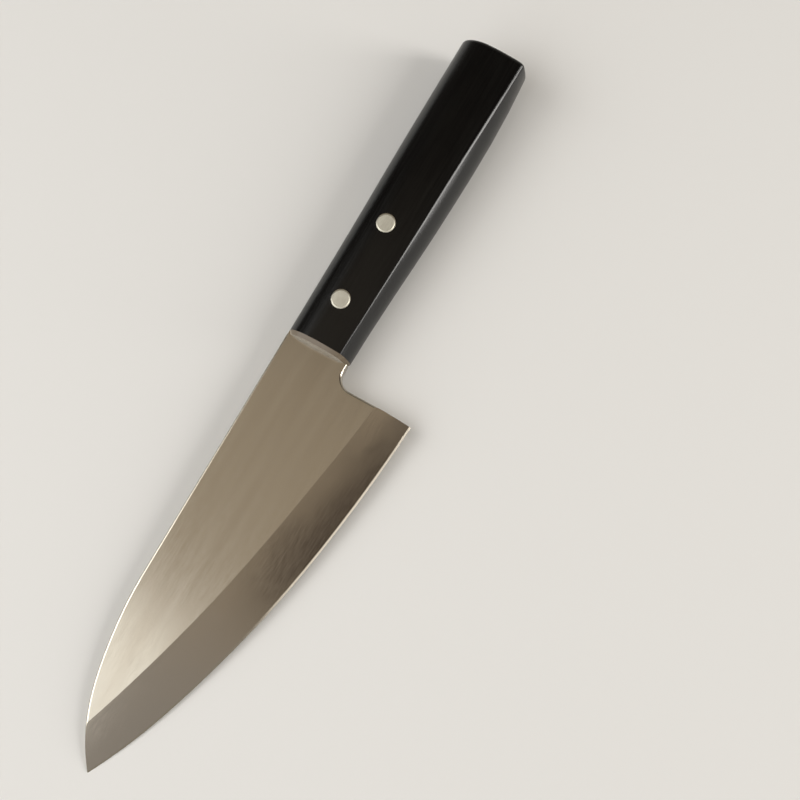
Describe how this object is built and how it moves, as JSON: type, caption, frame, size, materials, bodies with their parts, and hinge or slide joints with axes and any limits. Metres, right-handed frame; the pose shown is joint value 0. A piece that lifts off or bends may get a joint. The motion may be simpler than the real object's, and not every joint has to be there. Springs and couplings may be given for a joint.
{
  "type": "deba knife",
  "caption": "Right-handed single-bevel deba knife: thick steel blade with a hollow back and a riveted D-section black wood handle.",
  "frame": {"origin": "centre of the knife's bounding box in plan, at the lowest point of the handle's back side, with the blade's flat back level", "axes": "+X from the butt to the tip, +Y from the spine to the cutting edge, +Z out of the ground side, so the knife lies with its ground side up"},
  "size_m": [0.2836, 0.0534, 0.0183],
  "materials": {
    "blade_steel": "satin, lengthwise polish on the flat side, finer polish on the bevel",
    "handle_wood": "black resin-laminated wood, satin, with fine lengthwise layer lines",
    "rivet_metal": "satin, ground flush with the handle"
  },
  "bodies": {
    "root": {"blade": "blade_steel", "handle": "handle_wood", "front_rivet_pin": "rivet_metal", "front_rivet_tube": "rivet_metal", "rear_rivet_pin": "rivet_metal", "rear_rivet_tube": "rivet_metal"}
  },
  "joints": []
}
